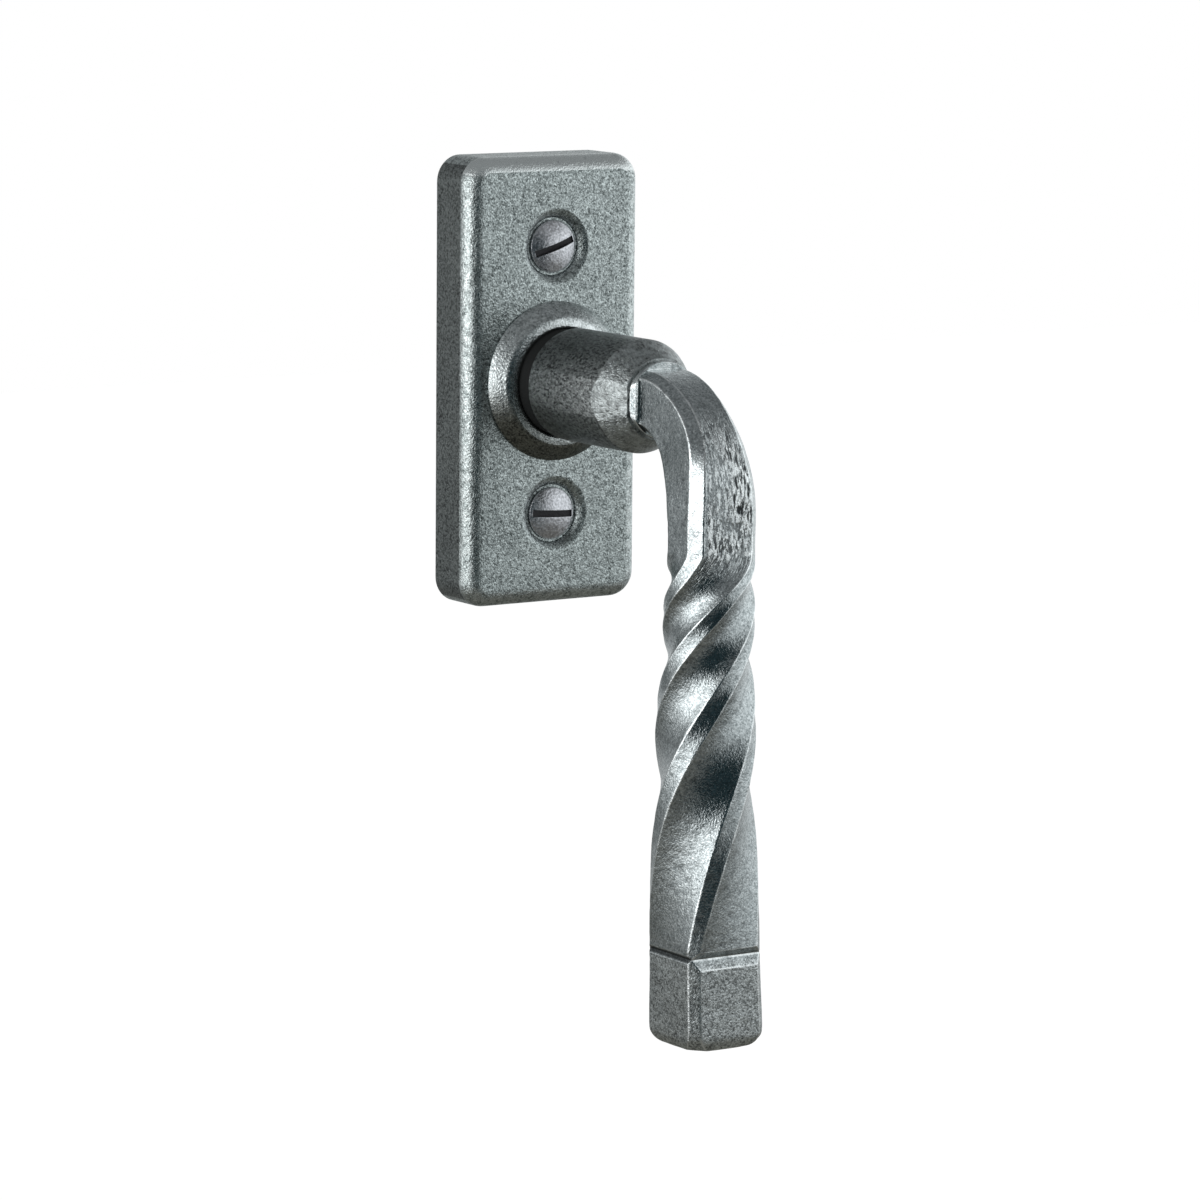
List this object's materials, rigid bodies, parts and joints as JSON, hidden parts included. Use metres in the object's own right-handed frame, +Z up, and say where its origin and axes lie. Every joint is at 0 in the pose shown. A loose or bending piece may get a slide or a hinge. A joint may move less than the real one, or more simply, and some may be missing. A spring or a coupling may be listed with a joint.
{
  "type": "window handle",
  "caption": "Forged window handle: twisted bar grip bent from a round neck, on a narrow dished cover plate, with square spindle, detent and two fixing screws.",
  "frame": {"origin": "where the spindle's axis leaves the back, in the plane of the sash's face, half way between the two locating noses", "axes": "+Z up the sash and away from the grip's foot, -Y out into the room, +X to the right as seen from the room"},
  "size_m": [0.0324, 0.0834, 0.1355],
  "materials": {
    "forged_steel": "forged, blasted and waxed steel",
    "turned_steel": "satin turned steel",
    "zinc_plated_steel": "bright zinc plated",
    "spring_steel": "blued spring steel",
    "die_cast_zinc": "as cast zinc alloy",
    "black_nylon": "moulded nylon"
  },
  "bodies": {
    "fixed": {"rose_cover": "forged_steel", "collar_ring": "turned_steel", "bearing_bush": "black_nylon", "base_plate": "die_cast_zinc", "spring_plate": "zinc_plated_steel", "locating_sleeve_upper": "black_nylon", "locating_sleeve_lower": "black_nylon", "fixing_screw_upper": "zinc_plated_steel", "fixing_screw_lower": "zinc_plated_steel", "leaf_spring_left": "spring_steel", "leaf_spring_right": "spring_steel"},
    "lever": {"neck": "forged_steel", "lever_bar": "forged_steel", "spindle": "zinc_plated_steel", "spindle_pin": "turned_steel", "detent_cam": "turned_steel", "thrust_washer": "zinc_plated_steel", "retaining_ring": "spring_steel"}
  },
  "joints": [
    {"name": "handle_turn", "type": "hinge", "parent": "fixed", "child": "lever", "pos_m": [0, 0, 0], "axis": [0, -1, 0], "continuous": true, "deforming": ["leaf_spring_left", "leaf_spring_right"]}
  ]
}
